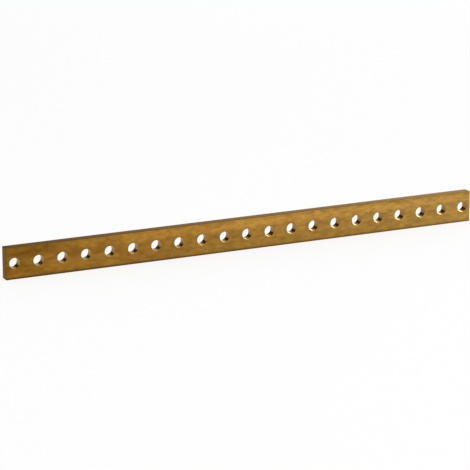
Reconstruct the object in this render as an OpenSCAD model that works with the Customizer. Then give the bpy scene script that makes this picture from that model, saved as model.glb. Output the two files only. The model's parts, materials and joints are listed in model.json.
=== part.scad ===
// Earth terminal bar: one flat brass bar with a single row of plain screw holes.
// The bar stands on its lower long edge, with its faces upright.
// +X runs along the bar, +Y from its front face to its back face, and +Z up across its width.
// The origin is below the middle hole, at mid-thickness, on the lower edge.

/* [Bar] */
// Width of the flat bar, from its lower long edge to its upper one
bar_width = 12; // [9:0.5:30]
// Thickness of the bar, from its front face to its back face
bar_thickness = 3.5; // [1.5:0.1:6]
// Radius that drawing leaves on the four long corners
long_corner_radius = 0.35; // [0.1:0.05:0.7]

/* [Screw holes] */
// Number of screw holes in the row
hole_count = 21; // [2:1:60]
// Spacing from one screw hole to the next, centre to centre
hole_pitch = 9.2; // [7:0.1:25]
// Diameter of each screw hole
hole_diameter = 4; // [2.5:0.1:6]
// Depth of the small chamfer on each rim of a hole, at 45 degrees
rim_chamfer = 0.15; // [0.05:0.05:0.4]

/* [Sawn ends] */
// Distance from the centre of the first or last hole to the end of the bar
end_margin = 3.4; // [3:0.1:25]
// Radius that filing leaves on the four corners of each face
face_corner_radius = 0.4; // [0.1:0.05:1.5]
// Radius that filing leaves on the upright edges of each end
end_edge_radius = 0.2; // [0.05:0.05:0.6]

/* [Hidden] */
$fn = 96;

bar_length = (hole_count - 1) * hole_pitch + 2 * end_margin;
hole_height = bar_width / 2;
hole_radius = hole_diameter / 2;
brass = "#a87d3b";
// How far a cutting or trimming solid runs past the surface that it cuts
overrun = 1;

// A rectangle centred on the origin, with round corners
module rounded_rectangle(size_a, size_b, radius) {
    square([size_a, size_b - 2 * radius], center = true);
    square([size_a - 2 * radius, size_b], center = true);
    for (side_a = [-1, 1], side_b = [-1, 1])
        translate([side_a * (size_a / 2 - radius), side_b * (size_b / 2 - radius)])
            circle(r = radius);
}

// The drawn bar: its cross-section carried along X, past both ends
module drawn_stock() {
    translate([0, 0, bar_width / 2])
        rotate([90, 0, 90])
            linear_extrude(height = bar_length + 2 * overrun, center = true)
                rounded_rectangle(bar_thickness, bar_width, long_corner_radius);
}

// The outline of the face, carried through the thickness: the two sawn ends and their corners
module face_outline() {
    translate([0, 0, bar_width / 2])
        rotate([90, 0, 0])
            linear_extrude(height = bar_thickness + 2 * overrun, center = true)
                rounded_rectangle(bar_length, bar_width, face_corner_radius);
}

// The outline seen from above, carried up the width: it breaks the upright edges of the ends
module plan_outline() {
    translate([0, 0, -overrun])
        linear_extrude(height = bar_width + 2 * overrun)
            rounded_rectangle(bar_length, bar_thickness, end_edge_radius);
}

// The bar as it is cut to length and filed, before it is drilled
module cut_length() {
    intersection() {
        drawn_stock();
        face_outline();
        plan_outline();
    }
}

// The solid that one hole takes out: a drill, with a 45 degree chamfer at each face
module screw_hole() {
    face = bar_thickness / 2;
    rotate([90, 0, 0])
        rotate_extrude()
            polygon([
                [0, -face - overrun],
                [hole_radius + rim_chamfer + overrun, -face - overrun],
                [hole_radius, -face + rim_chamfer],
                [hole_radius, face - rim_chamfer],
                [hole_radius + rim_chamfer + overrun, face + overrun],
                [0, face + overrun]
            ]);
}

module terminal_bar() {
    color(brass)
        difference() {
            cut_length();
            for (place = [0 : hole_count - 1])
                translate([(place - (hole_count - 1) / 2) * hole_pitch, 0, hole_height])
                    screw_hole();
        }
}

terminal_bar();
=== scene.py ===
import json
import math

import bpy
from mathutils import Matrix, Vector


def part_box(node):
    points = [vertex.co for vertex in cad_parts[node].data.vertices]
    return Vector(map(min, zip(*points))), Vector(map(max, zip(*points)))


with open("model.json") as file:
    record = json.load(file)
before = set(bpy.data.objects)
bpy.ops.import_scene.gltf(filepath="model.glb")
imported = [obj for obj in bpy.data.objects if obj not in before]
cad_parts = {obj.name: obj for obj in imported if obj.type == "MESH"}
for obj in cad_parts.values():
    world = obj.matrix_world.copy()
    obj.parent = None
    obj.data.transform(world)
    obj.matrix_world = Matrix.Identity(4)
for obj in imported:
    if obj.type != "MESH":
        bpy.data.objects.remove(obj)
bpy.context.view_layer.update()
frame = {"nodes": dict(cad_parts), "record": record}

bl_info = {
    "name": "Earth terminal bar",
    "version": (1, 0, 0),
    "blender": (4, 5, 0),
    "location": "3D View > Sidebar > Earth bar",
    "description": "Dresses a drilled brass earth bar and lights it in a plain white studio",
    "category": "Object",
}

# The imported frame, in metres: the bar's own box, and the row of holes
BAR = "terminal_bar"
BAR_LOW, BAR_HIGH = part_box(BAR)
HOLES = [mount for mount in frame["record"]["mounts"] if mount["kind"] == "bore"]

# The same, in the millimetres that the materials work in
MM = 1000.0
HALF_LENGTH = (BAR_HIGH.x - BAR_LOW.x) / 2 * MM
WIDTH = (BAR_HIGH.z - BAR_LOW.z) * MM
FIRST_HOLE = HOLES[0]["pos_m"][0] * MM
HOLE_PITCH = HOLES[1]["pos_m"][0] * MM - FIRST_HOLE
HOLE_HEIGHT = HOLES[0]["pos_m"][2] * MM
HOLE_RADIUS = HOLES[0]["dims"]["r_mm"]

# How far past the bore's radius the plain wall ends and the face's finish is whole again, in mm
WALL_END = 0.02
FACE_START = 0.06

# The shade of the face along the row of holes, against its own colour
HOLE_ROW_SHADE = 0.95
# Broad bands of the face that are lighter or darker than the row of holes. Each row gives the heights
# where the band starts and is whole, as shares of the width, then the places where its shade starts and
# stops changing, as shares of the length, then what it adds to the shade before and after those places.
BANDS = (
    # Lighter above the holes, but darker at the browner end
    (0.6, 0.8, 0.03, 0.3, -0.2, 0.38),
    # The same band, darker towards the other end
    (0.6, 0.8, 0.5, 1.0, 0.0, -0.2),
    # A darker band along the upper edge
    (0.86, 0.975, 0.1, 0.6, 0.0, -0.22),
)

# Each lamp's name, place, side and power, in metres and watts
LAMPS = (
    ("key", (0.5, -0.5, 0.8), 0.6, 3.6),
    ("fill", (-0.6, -0.4, 0.9), 0.8, 1.6),
    ("back", (0.77, 1.0, 0.36), 0.45, 3.7),
)
# The card that the hole walls reflect: its place, width and height in metres
CARD_PLACE = (-0.6, 1.15, 0.68)
CARD_WIDTH = 1.4
CARD_HEIGHT = 1.0


def linear(colour):
    """A colour written as sRGB hex, turned to the linear values that shaders work in."""
    parts = [int(colour[i:i + 2], 16) / 255 for i in (1, 3, 5)]
    return tuple(c / 12.92 if c <= 0.04045 else ((c + 0.055) / 1.055) ** 2.4 for c in parts) + (1.0,)


def add_node(tree, kind, inputs=None, **settings):
    """Adds a node with its settings and returns it. Inputs are found by name or number, and each is given
    a value, the socket that feeds it, or a node, which stands for that node's first output."""
    node = tree.nodes.new(kind)
    for name, value in settings.items():
        setattr(node, name, value)
    for name, value in (inputs or {}).items():
        if isinstance(value, bpy.types.Node):
            value = value.outputs[0]
        if isinstance(value, bpy.types.NodeSocket):
            tree.links.new(value, node.inputs[name])
        else:
            node.inputs[name].default_value = value
    return node


def bare_tree(owner):
    """The node tree of a material or a world, emptied."""
    owner.use_nodes = True
    owner.node_tree.nodes.clear()
    return owner.node_tree


class BrassFinish(bpy.types.PropertyGroup):
    """The finish of the drawn brass, with the painted shade on its edges and in its holes."""

    face_near: bpy.props.StringProperty(
        name="Tarnished brass", description="Face colour at the browner end, sRGB hex", default="#9b6e25")
    face_far: bpy.props.StringProperty(
        name="Clean brass", description="Face colour at the cleaner end, sRGB hex", default="#b08844")
    stain: bpy.props.StringProperty(
        name="Stain", description="Colour of the handling stains, sRGB hex", default="#6e4310")
    # These two colours are painted shade on the long edges and the ends, darker at the browner end
    shaded_edge_near: bpy.props.StringProperty(
        name="Rolled edge, brown", description="Long edges at the browner end, sRGB hex", default="#5c4218")
    shaded_edge_far: bpy.props.StringProperty(
        name="Rolled edge, clean", description="Long edges at the cleaner end, sRGB hex", default="#86682f")
    # The wall colour, a little darker than the face, is painted shade in the holes
    wall: bpy.props.StringProperty(
        name="Drilled wall", description="Colour of the walls in the holes, sRGB hex", default="#8f6a2c")
    grazing: bpy.props.StringProperty(
        name="Grazing tint", description="Tint of the reflection at a grazing look, sRGB hex",
        default="#f7f0e2")
    line_spacing: bpy.props.FloatProperty(
        name="Drawing lines", description="Spacing of the lines that the die draws along the bar",
        default=0.0006, unit="LENGTH", subtype="DISTANCE")
    stain_size: bpy.props.FloatProperty(
        name="Stain size", description="Height of a typical stain across the bar",
        default=0.0012, unit="LENGTH", subtype="DISTANCE")
    # How far the painted edge shade reaches up the faces from the lower edge
    edge_width: bpy.props.FloatProperty(
        name="Edge width", description="How far the dark skin of the lower edge reaches up the faces",
        default=0.0013, unit="LENGTH", subtype="DISTANCE")
    roughness: bpy.props.FloatProperty(
        name="Roughness", description="Roughness of the satin face", default=0.42, min=0.0, max=1.0,
        subtype="FACTOR")


class Studio(bpy.types.PropertyGroup):
    """The floor, the card, the soft light from all round, and the camera."""

    floor_size: bpy.props.FloatProperty(
        name="Floor", description="Side of the square white floor", default=24.0,
        unit="LENGTH", subtype="DISTANCE")
    paper: bpy.props.StringProperty(
        name="Paper", description="Colour of the floor, sRGB hex", default="#fafafa")
    paper_glow: bpy.props.FloatProperty(
        name="Paper glow", description="Share of the floor's white that no shadow takes away", default=0.76,
        min=0.0, max=1.0, subtype="FACTOR")
    card: bpy.props.StringProperty(
        name="Card", description="Colour of the card that the hole walls reflect, sRGB hex",
        default="#5a5a5a")
    room_light: bpy.props.FloatProperty(
        name="Room light", description="Strength of the soft light from all round", default=0.64, min=0.0)
    azimuth: bpy.props.FloatProperty(
        name="Camera azimuth", description="Angle round the bar, from straight in front towards its right",
        default=math.radians(-25.27), unit="ROTATION", subtype="ANGLE")
    elevation: bpy.props.FloatProperty(
        name="Camera elevation", description="Angle above the floor", default=math.radians(15.51),
        unit="ROTATION", subtype="ANGLE")
    distance: bpy.props.FloatProperty(
        name="Camera distance", description="From the lens to the point looked at", default=0.9435,
        unit="LENGTH", subtype="DISTANCE")
    lens: bpy.props.FloatProperty(
        name="Lens", description="Focal length, in millimetres on a 36 mm sensor", default=194.88)
    aim_along: bpy.props.FloatProperty(
        name="Aim along", description="Point looked at, from the bar's left end", default=0.09033,
        unit="LENGTH", subtype="DISTANCE")
    aim_height: bpy.props.FloatProperty(
        name="Aim height", description="Point looked at, above the floor", default=0.006234,
        unit="LENGTH", subtype="DISTANCE")


def stretched_noise(tree, place, length, height, detail):
    """Soft noise whose features are length along the bar and height across it, both in mm."""
    scaled = add_node(tree, "ShaderNodeVectorMath", {0: place, 1: (1 / length, 1 / height, 1 / height)},
                      operation="MULTIPLY")
    return add_node(tree, "ShaderNodeTexNoise", {"Vector": scaled, "Scale": 1.0, "Detail": detail})


def painted_edge_shade(tree, x, z, reach):
    """How strong the painted edge shade is, from 0 to 1: full on the long edges and weaker on the sawn
    ends, fading out over the faces, further up from the lower edge than in from the upper one and the ends."""
    from_middle = add_node(tree, "ShaderNodeMath", {0: x}, operation="ABSOLUTE")
    # For each edge: the measure across it, where the painted shade starts, where it is whole, and how
    # strong it is
    lower_edge = (z, reach, 0.2 * reach, 1.0)
    upper_edge = (z, WIDTH - 0.25 * reach, WIDTH - 0.05 * reach, 1.0)
    ends = (from_middle, HALF_LENGTH - 0.35 * reach, HALF_LENGTH - 0.1 * reach, 0.45)
    edge_shade = 0.0
    for measure, start, whole, shade_strength in (lower_edge, upper_edge, ends):
        edge = add_node(tree, "ShaderNodeMapRange",
                        {"Value": measure, "From Min": start, "From Max": whole, "To Max": shade_strength},
                        interpolation_type="SMOOTHSTEP")
        edge_shade = add_node(tree, "ShaderNodeMath", {0: edge_shade, 1: edge}, operation="MAXIMUM")
    return edge_shade


def sheet_bands(tree, along, z):
    """The shade of the face, near 1: the row of holes' own, plus height x strength for each band, where
    the height fades the band in across the bar and the strength changes along it."""
    shade = HOLE_ROW_SHADE
    for start, whole, change_from, change_to, before, after in BANDS:
        height = add_node(tree, "ShaderNodeMapRange",
                          {"Value": z, "From Min": start * WIDTH, "From Max": whole * WIDTH},
                          interpolation_type="SMOOTHSTEP")
        strength = add_node(tree, "ShaderNodeMapRange",
                            {"Value": along, "From Min": change_from, "From Max": change_to,
                             "To Min": before, "To Max": after})
        shade = add_node(tree, "ShaderNodeMath", {0: height, 1: strength, 2: shade},
                         operation="MULTIPLY_ADD")
    return shade


def drilled_wall(tree, x, z):
    """1 inside a hole's rim and 0 outside it, from the distance to the nearest hole's axis. The distance
    along the bar rises and falls once in each pitch."""
    from_first = add_node(tree, "ShaderNodeMath", {0: x, 1: FIRST_HOLE}, operation="SUBTRACT")
    sideways = add_node(tree, "ShaderNodeMath", {0: from_first, 1: HOLE_PITCH / 2}, operation="PINGPONG")
    upwards = add_node(tree, "ShaderNodeMath", {0: z, 1: HOLE_HEIGHT}, operation="SUBTRACT")
    spot = add_node(tree, "ShaderNodeCombineXYZ", {"X": sideways, "Z": upwards})
    from_axis = add_node(tree, "ShaderNodeVectorMath", {0: spot}, operation="LENGTH").outputs["Value"]
    return add_node(tree, "ShaderNodeMapRange",
                    {"Value": from_axis, "From Min": HOLE_RADIUS + FACE_START,
                     "From Max": HOLE_RADIUS + WALL_END})


def face_colour(tree, finish, along, z, lines, mottling, clouds):
    """The colour of the drawn face: browner at one end, stained in clouds, then lighter and darker by the
    die's lines, the mottling and the broad bands."""
    face = add_node(tree, "ShaderNodeMix",
                    {0: along, 6: linear(finish.face_near), 7: linear(finish.face_far)},
                    data_type="RGBA").outputs[2]
    # The stains are strongest at the browner end
    strength = add_node(tree, "ShaderNodeMapRange",
                        {"Value": along, "From Max": 0.3, "To Min": 0.45, "To Max": 0.14})
    stained = add_node(tree, "ShaderNodeMapRange", {"Value": clouds, "From Min": 0.45, "From Max": 0.65},
                       interpolation_type="SMOOTHSTEP")
    stained = add_node(tree, "ShaderNodeMath", {0: stained, 1: strength}, operation="MULTIPLY")
    face = add_node(tree, "ShaderNodeMix", {0: stained, 6: face, 7: linear(finish.stain)},
                    data_type="RGBA").outputs[2]
    shades = [sheet_bands(tree, along, z)]
    for pattern, contrast in ((lines, 0.07), (mottling, 0.2)):
        shades.append(add_node(tree, "ShaderNodeMapRange",
                               {"Value": pattern, "From Min": 0.3, "From Max": 0.7,
                                "To Min": 1 - contrast, "To Max": 1 + contrast}))
    for shade in shades:
        face = add_node(tree, "ShaderNodeVectorMath", {0: face, "Scale": shade}, operation="SCALE")
    return face


def brass_material(finish):
    """Drawn satin brass: fine lines along the bar, stains from handling, painted shade on the edges, and a
    plain darker colour in the holes that is painted shade.
    """
    material = bpy.data.materials.new("drawn_satin_brass")
    tree = bare_tree(material)
    place = add_node(tree, "ShaderNodeTexCoord").outputs["Object"]
    place = add_node(tree, "ShaderNodeVectorMath", {0: place, "Scale": MM}, operation="SCALE")
    parts = add_node(tree, "ShaderNodeSeparateXYZ", {0: place}).outputs
    x, z = parts["X"], parts["Z"]
    along = add_node(tree, "ShaderNodeMapRange",
                     {"Value": x, "From Min": -HALF_LENGTH, "From Max": HALF_LENGTH})

    # Fine lines from the die give the satin its lengthwise grain. Real ones are under 0.1 mm apart, too
    # fine to show, so these are drawn as coarse as they need to be.
    spacing = finish.line_spacing * MM
    lines = stretched_noise(tree, place, 90 * spacing, spacing, 3.0)
    # Short mottling, left by handling, breaks up the plain sheet colour
    stain_size = finish.stain_size * MM
    mottling = stretched_noise(tree, place, 2.2 * stain_size, stain_size, 2.0)
    # Wide clouds of older tarnish drift along the bar
    clouds = stretched_noise(tree, place, 14 * stain_size, 3 * stain_size, 1.0)

    # Painted shade darkens the edges, and a plain, slightly darker colour in the holes is painted shade
    colour = face_colour(tree, finish, along, z, lines, mottling, clouds)
    edge_shade = painted_edge_shade(tree, x, z, finish.edge_width * MM)
    # The edge colour is painted shade, darker at the browner end
    edge = add_node(tree, "ShaderNodeMix",
                    {0: along, 6: linear(finish.shaded_edge_near), 7: linear(finish.shaded_edge_far)},
                    data_type="RGBA").outputs[2]
    # The holes' walls take a plain colour, a little darker than the face, as painted shade
    wall = drilled_wall(tree, x, z)
    for share, over in ((edge_shade, edge), (wall, linear(finish.wall))):
        colour = add_node(tree, "ShaderNodeMix", {0: share, 6: colour, 7: over},
                          data_type="RGBA").outputs[2]

    # The satin is rougher and smoother by its lines, the edges under the painted shade are duller, and the
    # drilled walls are smoother
    rough = add_node(tree, "ShaderNodeMapRange",
                     {"Value": lines, "From Min": 0.2, "From Max": 0.8,
                      "To Min": finish.roughness - 0.08, "To Max": finish.roughness + 0.08})
    for share, change in ((edge_shade, 0.3), (wall, -0.2)):
        rough = add_node(tree, "ShaderNodeMath", {0: share, 1: change, 2: rough}, operation="MULTIPLY_ADD")

    # The lines catch the light as shallow grooves, a few hundredths of a millimetre deep at most
    bump = add_node(tree, "ShaderNodeBump", {"Height": lines, "Strength": 0.25, "Distance": 0.05 / MM})
    # Tarnish keeps some of the brown at a grazing look, where clean metal would turn white
    shader = add_node(tree, "ShaderNodeBsdfPrincipled",
                      {"Base Color": colour, "Metallic": 1.0, "Roughness": rough, "Normal": bump,
                       "Specular Tint": linear(finish.grazing)})
    add_node(tree, "ShaderNodeOutputMaterial", {"Surface": shader})
    return material


def white_to_sight(tree):
    """1 for what the eye or a reflection sees, 0 for the light that falls on things."""
    path = add_node(tree, "ShaderNodeLightPath").outputs
    sight = path["Is Camera Ray"]
    for other in ("Is Glossy Ray", "Is Transmission Ray"):
        sight = add_node(tree, "ShaderNodeMath", {0: sight, 1: path[other]}, operation="MAXIMUM")
    return sight


def floor_material(studio):
    """White seamless paper, most of whose white is its own, so that a shadow on it stays pale."""
    material = bpy.data.materials.new("white_paper")
    tree = bare_tree(material)
    paper = add_node(tree, "ShaderNodeBsdfDiffuse", {"Color": linear(studio.paper)})
    glow = add_node(tree, "ShaderNodeEmission", {"Color": (1, 1, 1, 1), "Strength": 1.0})
    share = add_node(tree, "ShaderNodeMath", {0: white_to_sight(tree), 1: studio.paper_glow},
                     operation="MULTIPLY")
    mixed = add_node(tree, "ShaderNodeMixShader", {0: share, 1: paper, 2: glow})
    add_node(tree, "ShaderNodeOutputMaterial", {"Surface": mixed})
    return material


def card_material(studio):
    """Matt dark grey card, which gives the walls that reflect it their dark side."""
    material = bpy.data.materials.new("grey_card")
    tree = bare_tree(material)
    card = add_node(tree, "ShaderNodeBsdfDiffuse", {"Color": linear(studio.card)})
    add_node(tree, "ShaderNodeOutputMaterial", {"Surface": card})
    return material


def studio_world(studio):
    """A white room to the eye and to metal, and a plain soft fill for what it lights."""
    world = bpy.data.worlds.new("white_studio")
    bpy.context.scene.world = world
    tree = bare_tree(world)
    strength = add_node(tree, "ShaderNodeMapRange",
                        {"Value": white_to_sight(tree), "To Min": studio.room_light, "To Max": 1.0})
    room = add_node(tree, "ShaderNodeBackground", {"Color": (1, 1, 1, 1), "Strength": strength})
    add_node(tree, "ShaderNodeOutputWorld", {"Surface": room})


def area_lamp(name, place, size, power):
    """A soft square lamp, aimed at the bar, that the camera doesn't see."""
    data = bpy.data.lights.new(name, "AREA")
    data.shape = "SQUARE"
    data.size = size
    data.energy = power
    lamp = bpy.data.objects.new(name, data)
    bpy.context.scene.collection.objects.link(lamp)
    lamp.location = place
    lamp.rotation_euler = (-Vector(place)).to_track_quat("-Z", "Y").to_euler()
    lamp.visible_camera = False


def flat_sheet(name, width, height, material):
    """A flat rectangle of one material, centred on the origin and facing up."""
    right, top = width / 2, height / 2
    mesh = bpy.data.meshes.new(name)
    mesh.from_pydata([(-right, -top, 0), (right, -top, 0), (right, top, 0), (-right, top, 0)], [],
                     [(0, 1, 2, 3)])
    mesh.materials.append(material)
    sheet = bpy.data.objects.new(name, mesh)
    bpy.context.scene.collection.objects.link(sheet)
    return sheet


def hang_flag(studio):
    """A dark grey card behind the bar, up and to the left, facing it. Only reflections see it: it darkens
    the walls of the holes that face it, and takes no light from anything else."""
    flag = flat_sheet("flag", CARD_WIDTH, CARD_HEIGHT, card_material(studio))
    flag.location = CARD_PLACE
    flag.rotation_euler = (-Vector(CARD_PLACE)).to_track_quat("Z", "Y").to_euler()
    flag.visible_camera = False
    flag.visible_diffuse = False
    flag.visible_shadow = False


def lay_floor(studio):
    """A flat white sheet, far larger than any view of the bar."""
    floor = flat_sheet("floor", studio.floor_size, studio.floor_size, floor_material(studio))


def place_camera(studio):
    """A long lens, low and to the left, so that the bar runs away to the right."""
    aim = Vector((BAR_LOW.x + studio.aim_along, BAR_LOW.y, studio.aim_height))
    back = Vector((math.sin(studio.azimuth) * math.cos(studio.elevation),
                   -math.cos(studio.azimuth) * math.cos(studio.elevation),
                   math.sin(studio.elevation)))
    data = bpy.data.cameras.new("camera")
    data.lens = studio.lens
    data.sensor_width = 36.0
    data.clip_start = 0.05
    data.clip_end = 60.0
    camera = bpy.data.objects.new("camera", data)
    bpy.context.scene.collection.objects.link(camera)
    camera.location = aim + back * studio.distance
    camera.rotation_euler = (-back).to_track_quat("-Z", "Y").to_euler()
    bpy.context.scene.camera = camera


class EARTHBAR_OT_dress_bar(bpy.types.Operator):
    """Give the drilled bar its drawn brass finish"""

    bl_idname = "earthbar.dress_bar"
    bl_label = "Terminal bar"

    def execute(self, context):
        brass = brass_material(context.scene.brass_finish)
        for slot in frame["nodes"][BAR].material_slots:
            slot.material = brass
        return {"FINISHED"}


class EARTHBAR_OT_build_studio(bpy.types.Operator):
    """Lay the white floor, hang the card and the soft lamps, and set up the camera"""

    bl_idname = "earthbar.build_studio"
    bl_label = "Studio"

    def execute(self, context):
        studio = context.scene.studio
        lay_floor(studio)
        studio_world(studio)
        hang_flag(studio)
        for lamp in LAMPS:
            area_lamp(*lamp)
        place_camera(studio)
        context.scene.view_settings.view_transform = "Standard"
        return {"FINISHED"}


class EARTHBAR_PT_panel(bpy.types.Panel):
    """Lists the pieces and the stage"""

    bl_idname = "EARTHBAR_PT_panel"
    bl_label = "Earth terminal bar"
    bl_space_type = "VIEW_3D"
    bl_region_type = "UI"
    bl_category = "Earth bar"

    def draw(self, context):
        layout = self.layout
        for operator in OPERATORS:
            layout.operator(operator.bl_idname)


OPERATORS = (EARTHBAR_OT_dress_bar, EARTHBAR_OT_build_studio)
CLASSES = (BrassFinish, Studio) + OPERATORS + (EARTHBAR_PT_panel,)


def register():
    for each in CLASSES:
        bpy.utils.register_class(each)
    bpy.types.Scene.brass_finish = bpy.props.PointerProperty(type=BrassFinish)
    bpy.types.Scene.studio = bpy.props.PointerProperty(type=Studio)


def unregister():
    del bpy.types.Scene.studio
    del bpy.types.Scene.brass_finish
    for each in reversed(CLASSES):
        bpy.utils.unregister_class(each)


def main():
    register()
    bpy.ops.earthbar.dress_bar()
    bpy.ops.earthbar.build_studio()


if __name__ == "__main__":
    main()
